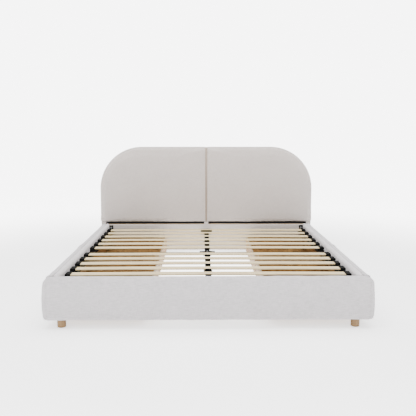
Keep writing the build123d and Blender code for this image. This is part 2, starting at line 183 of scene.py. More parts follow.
# Woven upholstery: thick and thin yarns both ways, lighter and darker slubs, a soft nap.
def wovenFabric(name, look):
    tree = Finish(name)
    place = tree.place()
    wander = (tree.noise(place, weave["wanderScale"], 2.0) - 0.5) * look["wander"]
    x, y, z = place.axes()
    across = x + y + wander
    along = z + y * weave["lean"] + wander
    turn = math.pi / look["yarn"]
    warp = (across * turn).to("SINE")
    weft = (along * turn).to("SINE")
    basket = (warp * weft).mapped(-0.7, 0.7)
    ridges = warp.to("ABSOLUTE") * basket + weft.to("ABSOLUTE") * (1.0 - basket)
    fine, long = weave["slubFine"], weave["slubLong"]
    slubAcross = tree.noise(tree.join(across * fine, along * long, y), 1.0, 2.0)
    slubAlong = tree.noise(tree.join(across * long, along * fine, y), 1.0, 2.0)
    slubs = slubAcross * basket + slubAlong * (1.0 - basket)
    fuzz = tree.noise(place, weave["fuzzScale"], 2.0)
    nap = tree.noise(place, weave["napScale"], 3.0, 0.6)
    patches = tree.noise(place, weave["patchScale"], 4.0, 0.65)
    tone = slubs.mapped(0.3, 0.7) * 0.62 + fuzz * 0.2 + ridges * 0.18
    color = tree.mix(tone, look["shade"], look["light"])
    soft = nap.mapped(0.3, 0.7, 1.0 - look["cloud"], 1.0 + look["cloud"] * 0.5)
    soft = soft * patches.mapped(0.25, 0.75, 1.0 - look["cloud"] * 0.8, 1.0)
    wide, deep, tall = weave["rippleScale"]
    ripples = tree.noise(tree.join(across * wide, across * deep, z * tall), 1.0, 3.0, 0.6)
    soft = soft * ripples.mapped(0.3, 0.7, 1.0 - look["ripple"], 1.0 + look["ripple"] * 0.5)
    height = ridges * 0.75 + slubs * 0.35 + fuzz * 0.15
    height = height + ripples * (look["ripple"] * weave["rippleRelief"])
    relief = tree.bump(height, look["relief"], 0.6)
    relief = tree.bump(patches, weave["patchRelief"], 0.35, relief)
    return tree.finish(
        Base_Color=color * soft,
        Roughness=slubs.mapped(0.2, 0.8, 0.84, 0.97),
        Normal=relief,
        Sheen_Weight=0.12,
        Sheen_Roughness=0.5,
        Specular_IOR_Level=0.2,
    )


# Wood with grain along one axis, given as stretches of x, y and z.
def grainedWood(name, look):
    tree = Finish(name)
    place = tree.place()
    x, y, z = place.axes()
    sx, sy, sz = look["stretch"]
    step = (y / look["pieceStep"]).to("FLOOR") * 3.71 if "pieceStep" in look else 0.0
    grainPlace = tree.join(x * sx + step, y * sy + step, z * sz)
    drift = tree.noise(grainPlace, 0.35, 2.0) * 3.0
    broad = tree.noise(grainPlace + drift, 1.0, 3.0, 0.55)
    lines = tree.noise(grainPlace * (2.0, 5.5, 5.5), 1.5, 4.0, 0.7)
    pores = tree.noise(grainPlace * (1.2, 14.0, 14.0), 2.2, 2.0)
    tone = broad * 0.55 + lines * 0.35 + pores * 0.1
    color = tree.mix(tone.mapped(0.3, 0.7), look["dark"], look["light"])
    wear = tree.noise(place, 9.0, 4.0, 0.6)
    color = tree.mix(wear.mapped(0.45, 0.8, 0.0, look["stain"]), color, look["stainColor"])
    relief = tree.bump(lines * 0.6 + pores * 0.4, look["relief"], 0.5)
    return tree.finish(
        Base_Color=color,
        Roughness=tone.mapped(0.2, 0.8, look["rough"] - 0.08, look["rough"] + 0.1),
        Normal=relief,
        Specular_IOR_Level=0.35,
        Coat_Weight=look.get("coat", 0.0),
        Coat_Roughness=0.35,
    )


# Brown plywood: a grained face, with the plies showing as layers on the cut edges.
def plywood(name, look):
    tree = Finish(name)
    place = tree.place()
    x, y, z = place.axes()
    facing = tree.node("ShaderNodeTexCoord", {}, {}, 1).axes()[2].to("ABSOLUTE")
    grain = tree.noise(tree.join(x * 9.0, y * 2.2, z * 44.0), 2.6, 4.0, 0.6)
    flame = tree.noise(tree.join(x * 60.0, y * 4.0, z * 130.0), 1.4, 3.0, 0.7)
    tone = grain * 0.65 + flame * 0.35
    face = tree.mix(tone.mapped(0.32, 0.68), look["dark"], look["light"])
    layers = ((x + y) * (math.pi / look["ply"])).to("SINE").mapped(-0.4, 0.4)
    edge = tree.mix(layers * 0.5 + flame * 0.5, look["edgeDark"], look["edgeLight"])
    above = z.mapped(look["edgeAbove"], look["edgeAbove"] + look["edgeFade"])
    color = tree.mix(facing.mapped(0.7, 0.9) * above, face, edge)
    return tree.finish(
        Base_Color=color,
        Roughness=tone.mapped(0.2, 0.8, 0.45, 0.62),
        Normal=tree.bump(flame, 0.0005, 0.5),
        Specular_IOR_Level=0.35,
    )


# Powder coat, moulded plastic or plated steel: orange-peel texture, dusty patches, rubbed edges.
def mouldedFinish(name, look):
    tree = Finish(name)
    place = tree.place()
    peel = tree.noise(place, look["grainScale"], 2.0, 0.6)
    dust = tree.noise(place, 14.0, 4.0, 0.65)
    rub = tree.node("ShaderNodeNewGeometry", {}, {}, 7).mapped(0.52, 0.6)
    scuffs = tree.noise(place, 60.0, 4.0, 0.7).mapped(0.5, 0.7)
    color = tree.mix(dust.mapped(0.35, 0.75, 0.0, 0.5), look["color"], look["dusty"])
    color = tree.mix(rub * scuffs * 0.7, color, look["rubbed"])
    return tree.finish(
        Base_Color=color,
        Roughness=dust.mapped(0.3, 0.7, look["rough"] - 0.06, look["rough"] + 0.1),
        Metallic=look.get("metallic", 0.0),
        Normal=tree.bump(peel, look["relief"], 0.5),
        Specular_IOR_Level=look.get("gloss", 0.2),
    )


# Thin non-woven lining: short fibres pressed in a dotted grid.
def linedCloth(name, look):
    tree = Finish(name)
    place = tree.place()
    x, y, z = place.axes()
    turn = look["dotTurn"]
    dots = ((x * turn).to("SINE") * ((z + y) * turn).to("SINE")).mapped(0.0, 0.9)
    fibres = tree.noise(place, 340.0, 4.0, 0.75)
    tone = fibres * 0.7 + dots * 0.3
    return tree.finish(
        Base_Color=tree.mix(tone, look["dark"], look["light"]),
        Roughness=tone.mapped(0.0, 1.0, 0.8, 0.95),
        Normal=tree.bump(tone, 0.0006, 0.6),
        Specular_IOR_Level=0.1,
    )


fabricLooks = {
    "headboard": {"shade": (0.322, 0.288, 0.270), "light": (0.410, 0.370, 0.347), "yarn": 0.0026,
                  "wander": 0.0016, "cloud": 0.02, "relief": 0.0010, "ripple": 0.03},
    "base": {"shade": (0.354, 0.334, 0.341), "light": (0.530, 0.504, 0.513), "yarn": 0.0030,
             "wander": 0.0018, "cloud": 0.03, "relief": 0.0013, "ripple": 0.10},
    # rail: the base fabric painted about 12% lighter, a painted lit copy for the upward-facing rail
    # tops
    "rail": {"shade": (0.398, 0.377, 0.383), "light": (0.594, 0.567, 0.574), "yarn": 0.0030,
             "wander": 0.0018, "cloud": 0.03, "relief": 0.0013, "ripple": 0.10},
    "seam": {"shade": (0.215, 0.172, 0.140), "light": (0.325, 0.268, 0.222), "yarn": 0.0022,
             "wander": 0.0010, "cloud": 0.05, "relief": 0.0009, "ripple": 0.05},
}
woodLooks = {
    "slat": {"dark": (0.385, 0.290, 0.152), "light": (0.565, 0.475, 0.288),
             "stainColor": (0.43, 0.31, 0.165), "stain": 0.35, "stretch": (3.2, 60.0, 60.0),
             "pieceStep": 0.077, "relief": 0.0004, "rough": 0.55},
    "leg": {"dark": (0.135, 0.072, 0.025), "light": (0.232, 0.140, 0.054),
            "stainColor": (0.17, 0.09, 0.036), "stain": 0.3, "stretch": (70.0, 70.0, 7.0),
            "relief": 0.0004, "rough": 0.5, "coat": 0.1},
    "board": {"dark": (0.24, 0.155, 0.08), "light": (0.39, 0.28, 0.16),
              "stainColor": (0.27, 0.18, 0.095), "stain": 0.3, "stretch": (4.0, 40.0, 26.0),
              "relief": 0.0005, "rough": 0.65},
}
plyLook = {"dark": (0.135, 0.064, 0.018), "light": (0.345, 0.190, 0.060),
           "edgeDark": (0.20, 0.155, 0.105), "edgeLight": (0.36, 0.30, 0.22),
           "edgeAbove": 0.19, "edgeFade": 0.002, "ply": 0.0016}
mouldedLooks = {
    "plastic": {"color": (0.004, 0.004, 0.004), "dusty": (0.009, 0.009, 0.009),
                "rubbed": (0.04, 0.04, 0.04), "grainScale": 1400.0, "rough": 0.55,
                "relief": 0.0002, "gloss": 0.02},
    "steel": {"color": (0.006, 0.006, 0.006), "dusty": (0.014, 0.013, 0.012),
              "rubbed": (0.10, 0.07, 0.05), "grainScale": 700.0, "rough": 0.6,
              "relief": 0.0003, "gloss": 0.03},
    "zinc": {"color": (0.50, 0.51, 0.53), "dusty": (0.38, 0.38, 0.38),
             "rubbed": (0.64, 0.64, 0.64), "grainScale": 500.0, "rough": 0.36,
             "relief": 0.0002, "gloss": 0.5, "metallic": 1.0},
    "grey": {"color": (0.18, 0.18, 0.18), "dusty": (0.25, 0.25, 0.24),
             "rubbed": (0.31, 0.31, 0.31), "grainScale": 900.0, "rough": 0.5,
             "relief": 0.0002, "gloss": 0.3},
}
# Near-black lining: partly the black cloth itself, partly painted shade for the recessed gap under
# the upper headboard panels.
liningAndGapShadeLook = {"dark": (0.0015, 0.0015, 0.0015), "light": (0.006, 0.006, 0.006), "dotTurn": 900.0}

headFabric = wovenFabric("headboardFabric", fabricLooks["headboard"])
baseFabric = wovenFabric("baseFabric", fabricLooks["base"])
# The rail fabric is a lighter painted copy of the base fabric: painted light on the rail tops.
railFabricPaintedLit = wovenFabric("railFabricPaintedLit", fabricLooks["rail"])
seamFabric = wovenFabric("seamFabric", fabricLooks["seam"])
blackLiningAndGapShade = linedCloth("blackLiningAndGapShade", liningAndGapShadeLook)
finishes = {
    "panel_fabric": headFabric,
    "front_fabric": baseFabric,
    "rail_fabric": railFabricPaintedLit,
    "black_cloth": blackLiningAndGapShade,
    "board": grainedWood("boardWood", woodLooks["board"]),
    "drawer_ply": plywood("drawerPly", plyLook),
    "slat_wood": grainedWood("slatWood", woodLooks["slat"]),
    "leg_wood": grainedWood("legWood", woodLooks["leg"]),
    "black_steel": mouldedFinish("blackSteel", mouldedLooks["steel"]),
    "zinc_steel": mouldedFinish("zincSteel", mouldedLooks["zinc"]),
    "black_plastic": mouldedFinish("blackPlastic", mouldedLooks["plastic"]),
    "grey_plastic": mouldedFinish("greyPlastic", mouldedLooks["grey"]),
}


def dressFrame():
    for part in record["subparts"]:
        piece = frame["nodes"][part["node"]]
        for slot in piece.material_slots:
            slot.material = finishes[part["material_slot"]]


dressFrame()
print("materials on", len(record["subparts"]), "nodes")


hair = 0.001  # metres: points nearer than this lie on the same face
longEdge = 0.1  # metres: longer edges than this run along a piece
clothRules = {"quality": 4, "mass": 0.35, "shearShare": 0.5}


def sideName(side):
    return "right" if side > 0 else "left"


def within(value, low, high):
    return min(max(value, low), high)


# Where an outline point goes in space: standing across the bed, or lying flat.
def standing(a, b, depth):
    return (a, depth, b)


def lying(a, b, depth):
    return (a, b, depth)


def newPiece(name, points, faces, material):
    mesh = bpy.data.meshes.new(name)
    mesh.from_pydata(points, [], faces)
    mesh.update()
    piece = bpy.data.objects.new(name, mesh)
    scene.collection.objects.link(piece)
    mesh.materials.append(material)
    return piece


def smooth(piece):
    piece.data.polygons.foreach_set("use_smooth", [True] * len(piece.data.polygons))
    piece.data.update()


def applied(piece):
    graph = bpy.context.evaluated_depsgraph_get()
    made = bpy.data.meshes.new_from_object(piece.evaluated_get(graph))
    piece.modifiers.clear()
    piece.data = made


def facedOut(piece):
    mesh = bmesh.new()
    mesh.from_mesh(piece.data)
    bmesh.ops.recalc_face_normals(mesh, faces=mesh.faces)
    mesh.to_mesh(piece.data)
    mesh.free()


# Extrudes an outline of (a, b) points between two depths; spread puts (a, b, depth) in space.
def extruded(name, outline, depths, spread, material):
    count = len(outline)
    points = [spread(a, b, depth) for depth in depths for a, b in outline]
    faces = [tuple(range(count - 1, -1, -1)), tuple(range(count, 2 * count))]
    faces += [(i, (i + 1) % count, (i + 1) % count + count, i + count) for i in range(count)]
    piece = newPiece(name, points, faces, material)
    facedOut(piece)
    return piece


# A closed form through rings of points, smooth along its length.
def ringed(name, rings, material, flatEnds):
    count = len(rings[0])
    points = [point for ring in rings for point in ring]
    faces = [tuple(range(count)), tuple(range(len(points) - count, len(points)))]
    for i in range(len(rings) - 1):
        for j in range(count):
            k = (j + 1) % count
            here, there = count * i, count * (i + 1)
            faces.append((here + j, here + k, there + k, there + j))
    piece = newPiece(name, points, faces, material)
    facedOut(piece)
    smooth(piece)
    for end in piece.data.polygons[:2]:
        end.use_smooth = not flatEnds
    return piece


def arcPoints(centre, radius, start, stop, count):
    turns = [math.radians(start + (stop - start) * i / count) for i in range(count + 1)]
    return [(centre[0] + radius * math.cos(t), centre[1] + radius * math.sin(t)) for t in turns]


def remeshed(piece, voxel):
    step = piece.modifiers.new("remesh", "REMESH")
    step.mode = "VOXEL"
    step.voxel_size = voxel
    applied(piece)


# Rounds a shape by averaging its points with their neighbours.
def softened(piece, times):
    step = piece.modifiers.new("soft", "SMOOTH")
    step.iterations = times
    step.factor = 0.5
    applied(piece)


# Inflates a closed form with the cloth solver; pinned points stay, and the rest move at most cap.
def puffed(piece, pinned, look):
    group = piece.vertex_groups.new(name="pin")
    for point in piece.data.vertices:
        if pinned(point.co):
            group.add([point.index], 1.0, "REPLACE")
    start = [point.co.copy() for point in piece.data.vertices]
    cloth = piece.modifiers.new("cloth", "CLOTH")
    rules = cloth.settings
    rules.quality = clothRules["quality"]
    rules.mass = clothRules["mass"]
    rules.tension_stiffness = look["stretch"]
    rules.compression_stiffness = look["stretch"]
    rules.shear_stiffness = look["stretch"] * clothRules["shearShare"]
    rules.bending_stiffness = look["bend"]
    rules.use_pressure = True
    rules.uniform_pressure_force = look["pressure"]
    rules.shrink_min = -look["slack"]
    rules.vertex_group_mass = "pin"
    rules.effector_weights.gravity = 0.0
    cloth.collision_settings.use_collision = False
    cloth.collision_settings.use_self_collision = False
    cloth.point_cache.frame_start = 1
    cloth.point_cache.frame_end = look["frames"]
    for step in range(1, look["frames"] + 1):
        scene.frame_set(step)
    applied(piece)
    for point, was in zip(piece.data.vertices, start):
        move = point.co - was
        if move.length > look["cap"]:
            point.co = was + move * (look["cap"] / move.length)
    piece.vertex_groups.clear()
    scene.frame_set(1)


# Adds low lumps and small dents where the filling lies unevenly; share says how much goes where.
def lumped(piece, look, seed, share):
    shift = Vector((seed * 3.1, seed * 1.7, seed * 2.3))
    scale = look["lumpScale"]
    normals = [point.normal.copy() for point in piece.data.vertices]
    for point, normal in zip(piece.data.vertices, normals):
        broad = noise.noise(point.co * scale + shift)
        fine = noise.noise(point.co * scale * 2.7 + shift)
        point.co += normal * ((broad + 0.5 * fine) * look["lump"] * share(point.co))


def subdivided(piece):
    step = piece.modifiers.new("fine", "SUBSURF")
    step.levels = 1
    step.render_levels = 1
    applied(piece)
    smooth(piece)


# Rounds the edges that chosen() picks from their two end points.
def roundEdges(piece, chosen, width, segments=5):
    mesh = bmesh.new()
    mesh.from_mesh(piece.data)
    edges = [edge for edge in mesh.edges if chosen(edge.verts[0].co, edge.verts[1].co)]
    bmesh.ops.bevel(mesh, geom=edges, offset=width, segments=segments, profile=0.5,
                    affect="EDGES", clamp_overlap=True)
    mesh.to_mesh(piece.data)
    mesh.free()
    piece.data.update()


# Sewn threads: one narrow tube along each list of points.
def threads(name, lines, radius, material):
    curve = bpy.data.curves.new(name, "CURVE")
    curve.dimensions = "3D"
    curve.bevel_depth = radius
    curve.bevel_resolution = 1
    curve.use_fill_caps = True
    for points in lines:
        spline = curve.splines.new("POLY")
        spline.points.add(len(points) - 1)
        for place, point in zip(spline.points, points):
            place.co = (*point, 1.0)
    holder = bpy.data.objects.new(name + ".curve", curve)
    scene.collection.objects.link(holder)
    line = bpy.data.objects.new(name, bpy.data.meshes.new_from_object(holder))
    bpy.data.objects.remove(holder)
    scene.collection.objects.link(line)
    line.data.materials.clear()
    line.data.materials.append(material)
    smooth(line)
    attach(line, "bed_frame")


# Presses a sewn line into a pad: points near a plane go in along their normals.
def pressed(piece, distance, depth, reach):
    for point in piece.data.vertices:
        away = abs(distance(point.co))
        if away < reach:
            fall = 0.5 + 0.5 * math.cos(math.pi * away / reach)
            point.co -= point.normal * (depth * fall)


# Points of a line laid on a piece, found by looking along a direction from each start.
def laidLine(piece, starts, direction, lift):
    tree = BVHTree.FromObject(piece, bpy.context.evaluated_depsgraph_get())
    points = []
    for start in starts:
        place, normal, index, distance = tree.ray_cast(Vector(start), Vector(direction))
        if place is not None:
            points.append(place + normal * lift)
    return points


# Gives the right-hand piece a mirrored twin; finishSide() then works on each.
def pairUp(first, name, finishSide):
    twin = first.copy()
    twin.data = first.data.copy()
    scene.collection.objects.link(twin)
    first.name = name + ".right"
    twin.name = name + ".left"
    for point in twin.data.vertices:
        point.co.x = -point.co.x
    twin.data.flip_normals()
    finishSide(first, 1)
    finishSide(twin, -1)


headLook = {
    "corner": 0.40, "seamHalf": 0.0055, "setBack": 0.005, "liftBase": 0.006, "fullness": 0.007,
    "roll": 0.034, "seamRoll": 0.010, "baseRoll": 0.006, "voxel": 0.0085,
    "stretch": 12.0, "bend": 0.6, "pressure": 4.0, "slack": 0.012, "frames": 16, "cap": 0.007,
    "pinBack": 0.045, "pinEdge": 0.004,
    "lump": 0.0012, "lumpScale": 9.0, "lumpBack": 0.05, "seed": 4,
    "creaseAt": 0.064, "crease": 0.0016, "creaseReach": 0.006,
}
seamLook = {
    "half": 0.0092, "setBack": 0.0062, "depth": 0.012, "ridge": 0.0018, "underRoll": 0.0012,
    "turn": 72.0, "turnSteps": 8, "thread": 0.0007, "stitch": 0.007, "stitchAt": 0.55,
}
lowerLook = {
    "inset": 0.001, "lift": 0.0015, "dropTop": 0.0045, "roll": 0.006, "voxel": 0.009,
    "lump": 0.0012, "lumpScale": 11.0, "lumpDepth": 0.02, "seed": 9,
}
liningShape = {
    "setBack": 0.002, "depth": 0.010, "steps": 40, "tuck": 0.003, "lip": 0.006, "sag": 0.0015,
    "sagWaves": 7.0, "bulge": 0.0015, "bulgeScale": 6.0,
    "tabHalf": 0.019, "tabDepth": 0.05, "tabGap": 0.0005, "tabEnd": 0.004, "tabRoll": 0.003,
}


def panelOutline(inner, outer, bottom, top, radius):
    outline = [(inner, bottom), (outer, bottom)]
    outline += arcPoints((outer - radius, top - radius), radius, 0, 90, 28)
    return outline + [(inner, top)]


def headboardPanels():
    low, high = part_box("headboard_panel_right")
    inner = headLook["seamHalf"]
    bottom = low.z + headLook["liftBase"]
    front = low.y + headLook["setBack"]
    full = headLook["fullness"]
    outline = panelOutline(inner, high.x + full, bottom, high.z + full * 0.5, headLook["corner"])
    first = extruded("headboardPad", outline, (front, high.y), standing, headFabric)

    def onFront(p, q):
        return max(p.y, q.y) < front + hair

    def onSeam(p, q):
        return onFront(p, q) and max(p.x, q.x) < inner + hair

    def onBase(p, q):
        return onFront(p, q) and max(p.z, q.z) < bottom + hair

    def onRoll(p, q):
        return onFront(p, q) and not onSeam(p, q) and not onBase(p, q)

    def pinned(p):
        edge = headLook["pinEdge"]
        return p.y > high.y - headLook["pinBack"] or p.x < inner + edge or p.z < bottom + edge

    def lumpShare(p):
        return 1.0 if p.y < high.y - headLook["lumpBack"] else 0.0

    def fromCrease(p):
        return p.y - (low.y + headLook["creaseAt"])

    roundEdges(first, onRoll, headLook["roll"], 7)
    roundEdges(first, onSeam, headLook["seamRoll"])
    roundEdges(first, onBase, headLook["baseRoll"])
    remeshed(first, headLook["voxel"])
    softened(first, 2)
    puffed(first, pinned, headLook)

    def finishSide(piece, side):
        lumped(piece, headLook, headLook["seed"] + side, lumpShare)
        for point in piece.data.vertices:
            point.co.y = min(point.co.y, high.y)
            point.co.x = side * max(side * point.co.x, inner - hair)
            point.co.z = max(point.co.z, bottom)
        subdivided(piece)
        pressed(piece, fromCrease, headLook["crease"], headLook["creaseReach"])
        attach(piece, "bed_frame")
        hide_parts("headboard_panel_" + sideName(side))

    pairUp(first, "headboardPad", finishSide)


# The tan strip sewn between the two upper panels, turned over their rolled top, with its stitches.
def headboardSeam():
    low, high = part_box("headboard_panel_right")
    half = seamLook["half"]
    front = low.y + seamLook["setBack"]
    bottom = low.z + headLook["liftBase"]
    rollStart = high.z + headLook["fullness"] * 0.5 - headLook["roll"]
    radius = headLook["roll"] - seamLook["underRoll"]
    ridge = -seamLook["ridge"]
    profile = ((-1.0, 0.0), (-0.75, 0.8), (-0.4, 1.0), (0.0, 0.5),
               (0.4, 1.0), (0.75, 0.8), (1.0, 0.0))
    section = [(half * across, ridge * out) for across, out in profile]
    section += [(half, seamLook["depth"]), (-half, seamLook["depth"])]
    turnSteps = seamLook["turnSteps"]
    places = [(bottom, 0.0)]
    for i in range(turnSteps + 1):
        places.append((rollStart, math.radians(seamLook["turn"] * i / turnSteps)))
    rings = []
    for z, turn in places:
        back, up = math.cos(turn), math.sin(turn)
        rings.append([(x, front + radius * (1.0 - back) + inward * back, z + (radius - inward) * up)
                      for x, inward in section])
    strip = ringed("headboardSeam", rings, seamFabric, True)
    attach(strip, "bed_frame")
    step = seamLook["stitch"]
    thread = ((0.6, 0.0), (1.4, 0.2), (1.4, 0.8), (0.6, 1.0))  # how far out, how far along
    stitches = []
    for side in (-1, 1):
        x = side * half * seamLook["stitchAt"]
        for i in range(int((rollStart - bottom) / (step * 2.0))):
            base = bottom + step + i * step * 2.0
            stitches.append([(x, front + ridge * out, base + step * along)
                             for out, along in thread])
    threads("headboardStitches", stitches, seamLook["thread"], seamFabric)


def headboardLower():
    low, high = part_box("headboard_lower_cover")
    left = low.x + lowerLook["inset"]
    right = high.x - lowerLook["inset"]
    front = low.y + lowerLook["inset"]
    bottom = low.z + lowerLook["lift"]
    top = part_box("headboard_linings")[0].z - lowerLook["dropTop"]
    outline = [(left, bottom), (right, bottom), (right, top), (left, top)]
    piece = extruded("headboardLowerPad", outline, (front, high.y), standing, headFabric)
    roundEdges(piece, lambda p, q: max(p.y, q.y) < front + hair, lowerLook["roll"])
    remeshed(piece, lowerLook["voxel"])
    softened(piece, 1)
    lumpEnd = low.y + lowerLook["lumpDepth"]
    lumped(piece, lowerLook, lowerLook["seed"], lambda p: 1.0 if p.y < lumpEnd else 0.0)
    for point in piece.data.vertices:
        point.co.z = min(point.co.z, top)
    subdivided(piece)
    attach(piece, "bed_frame")
    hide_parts("headboard_lower_cover")


# Black cloth tucked between the upper and lower panels, made near-black so that it also stands in
# for the shade in that gap (painted shade), with three fabric tabs between.
def headboardLinings():
    low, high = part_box("headboard_linings")
    bottom = low.z - lowerLook["dropTop"]
    top = high.z + headLook["liftBase"]
    front = low.y + liningShape["setBack"]
    back = front + liningShape["depth"]
    tuck = front + liningShape["tuck"]
    lip = liningShape["lip"]
    half = liningShape["tabHalf"]
    steps = liningShape["steps"]
    for side in (-1, 1):
        rings = []
        for i in range(steps + 1):
            x = side * (half + (high.x - half) * i / steps)
            sag = liningShape["sag"] * math.sin(x * liningShape["sagWaves"] + side)
            wave = sag * math.sin(math.pi * i / steps)
            unevenness = noise.noise(Vector((x * liningShape["bulgeScale"], side, 0.0)))
            face = front + liningShape["bulge"] * unevenness
            rings.append([(x, tuck, bottom), (x, face, bottom + lip + wave),
                          (x, face, top - lip + wave), (x, tuck, top),
                          (x, back, top), (x, back, bottom)])
        # The lining strip carries the near-black colour that is partly painted gap shade.
        strip = ringed("headboardLining." + sideName(side), rings, blackLiningAndGapShade, False)
        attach(strip, "bed_frame")
        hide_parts("headboard_linings")
    gap = liningShape["tabGap"]
    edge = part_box("headboard_lower_cover")[1].x - liningShape["tabEnd"]
    depths = (front - hair, back + liningShape["tabDepth"])
    for name, start, stop in (("left", -edge, -high.x - gap), ("middle", gap - half, half - gap),
                              ("right", high.x + gap, edge)):
        outline = [(start, bottom), (stop, bottom), (stop, top), (start, top)]
        tab = extruded("headboardTab." + name, outline, depths, standing, headFabric)
        roundEdges(tab, lambda p, q: max(p.y, q.y) < front, liningShape["tabRoll"], 3)
        smooth(tab)
        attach(tab, "bed_frame")


headboardPanels()
headboardSeam()
headboardLower()
headboardLinings()
print("headboard")

footLook = {
    "endInset": 0.006, "setBack": 0.005, "lift": 0.001, "corner": 0.030, "roll": 0.030,
    "baseRoll": 0.008, "voxel": 0.0085,
    "widest": 1.016, "bowStart": 0.8, "bowLength": 0.2, "bowTop": 0.010, "bowBase": 0.010,
    "bowHeight": 0.175, "bowAbove": 0.14, "bowBelow": 0.11,
    "dropStart": 0.925, "dropWidth": 0.08, "dropTop": 0.018, "dropBase": 0.20, "dropLimit": 1.3,
    "stretch": 12.0, "bend": 0.6, "pressure": 5.0, "slack": 0.012, "frames": 16, "cap": 0.005,
    "pinBack": 0.006, "pinBase": 0.004,
    "lump": 0.0016, "lumpScale": 10.0, "lumpBack": 0.02, "seed": 2,
    "sag": 0.007, "sagDepth": 0.024, "sagHeight": 0.09,
    "seamInset": 0.022, "seamTop": 0.285, "seamBase": 0.010, "seamDepth": 0.045,
    "seamPress": 0.0028, "seamReach": 0.008, "seamPoints": 30, "welt": 0.0011, "weltLift": 0.0003,
}


# Bows the foot pad's ends outwards and lets its top corners drop.
def bowEnds(piece, width, top):
    for point in piece.data.vertices:
        outward = abs(point.co.x) - footLook["bowStart"]
        reach = within(outward / footLook["bowLength"], 0.0, 1.0)
        rise = point.co.z - footLook["bowHeight"]
        bow = footLook["bowTop"] if rise > 0 else footLook["bowBase"]
        rise /= footLook["bowAbove"] if rise > 0 else footLook["bowBelow"]
        target = footLook["widest"] - bow * rise * rise
        point.co.x *= 1.0 + (target / width - 1.0) * reach * reach
        outward = abs(point.co.x) - footLook["dropStart"]
        fall = within(outward / footLook["dropWidth"], 0.0, footLook["dropLimit"])
        upper = within((point.co.z - footLook["dropBase"]) / (top - footLook["dropBase"]), 0.0, 1.0)
        point.co.z -= footLook["dropTop"] * fall * fall * upper


def footPanel():
    low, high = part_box("foot_panel_padding")
    width = high.x - footLook["endInset"]
    front = low.y + footLook["setBack"]
    back = high.y - hair
    corner = footLook["corner"]
    outline = [(-width, back)]
    outline += arcPoints((-width + corner, front + corner), corner, 180, 270, 8)
    outline += arcPoints((width - corner, front + corner), corner, 270, 360, 8)
    outline += [(width, back)]
    heights = (low.z + footLook["lift"], high.z + footLook["lift"])
    piece = extruded("footPad", outline, heights, lying, baseFabric)

    def onTop(p, q):
        return min(p.z, q.z) > high.z

    def onBase(p, q):
        return max(p.z, q.z) < heights[0] + hair and max(p.y, q.y) < back - hair

    def pinned(p):
        return p.y > high.y - footLook["pinBack"] or p.z < low.z + footLook["pinBase"]

    def lumpShare(p):
        return 1.0 if p.y < high.y - footLook["lumpBack"] else 0.2

    roundEdges(piece, onTop, footLook["roll"], 7)
    roundEdges(piece, onBase, footLook["baseRoll"])
    remeshed(piece, footLook["voxel"])
    softened(piece, 3)
    bowEnds(piece, width, high.z)
    puffed(piece, pinned, footLook)
    lumped(piece, footLook, footLook["seed"], lumpShare)
    for point in piece.data.vertices:
        point.co.y = min(point.co.y, high.y)
        point.co.z = max(point.co.z, low.z)
        hang = 1.0 - (point.co.z - low.z) / footLook["sagHeight"]
        inFront = 1.0 - (point.co.y - low.y) / footLook["sagDepth"]
        point.co.z -= footLook["sag"] * max(hang, 0.0) * within(inFront * 2.0, 0.0, 1.0)
    subdivided(piece)
    seam = high.x - footLook["seamInset"]

    def fromSeam(p):
        if p.y < low.y + footLook["seamDepth"] and p.z < footLook["seamTop"]:
            return abs(p.x) - seam
        return 1.0

    pressed(piece, fromSeam, footLook["seamPress"], footLook["seamReach"])
    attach(piece, "bed_frame")
    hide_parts("foot_panel_padding")
    base = low.z + footLook["seamBase"]
    rise = footLook["seamTop"] - base
    count = footLook["seamPoints"]
    for side in (-1, 1):
        starts = [(side * seam, low.y - 0.2, base + rise * i / count) for i in range(count + 1)]
        line = laidLine(piece, starts, (0.0, 1.0, 0.0), footLook["weltLift"])
        threads("footSeam." + sideName(side), [line], footLook["welt"], baseFabric)


footPanel()
print("foot panel")

railLook = {
    "bulge": 0.004, "rise": 0.009, "gap": 0.0005, "innerRoll": 0.015, "outerRoll": 0.005,
    "voxel": 0.0065, "proud": 0.003, "pinOuter": 0.004, "pinBase": 0.03,
    "stretch": 12.0, "bend": 0.5, "pressure": 3.0, "slack": 0.008, "frames": 12, "cap": 0.004,
    "lump": 0.0011, "lumpScale": 13.0, "seed": 12,
}


# Fabric-wrapped side rails with a soft rolled top between the slat ends and the drawer fronts.
def sideRails():
    low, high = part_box("side_rail_right")
    inner = low.x - railLook["bulge"]
    outer = high.x + railLook["gap"]
    top = high.z + railLook["rise"]
    outline = [(inner, low.z), (outer, low.z), (outer, top), (inner, top)]
    ends = (low.y + railLook["gap"], high.y - railLook["gap"])
    # The rails wear the lighter painted copy of the base fabric (painted light).
    first = extruded("sideRail", outline, ends, standing, railFabricPaintedLit)

    def onTop(p, q):
        return min(p.z, q.z) > top - hair and abs(p.y - q.y) > longEdge

    def onInner(p, q):
        return onTop(p, q) and max(p.x, q.x) < inner + hair

    def onOuter(p, q):
        return onTop(p, q) and min(p.x, q.x) > outer - hair

    def pinned(p):
        return p.x > outer - railLook["pinOuter"] or p.z < low.z + railLook["pinBase"]

    def lumpShare(p):
        return 1.0 if abs(p.x) < outer - railLook["pinOuter"] else 0.0

    roundEdges(first, onInner, railLook["innerRoll"], 6)
    roundEdges(first, onOuter, railLook["outerRoll"], 3)
    remeshed(first, railLook["voxel"])
    softened(first, 1)
    puffed(first, pinned, railLook)

    def finishSide(piece, side):
        lumped(piece, railLook, railLook["seed"] + side, lumpShare)
        for point in piece.data.vertices:
            point.co.x = side * within(side * point.co.x, inner - railLook["proud"], outer)
            point.co.y = within(point.co.y, low.y, high.y)
            point.co.z = max(point.co.z, low.z)
        subdivided(piece)
        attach(piece, "bed_frame")
        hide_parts("side_rail_" + sideName(side))

    pairUp(first, "sideRail", finishSide)


sideRails()
print("side rails")

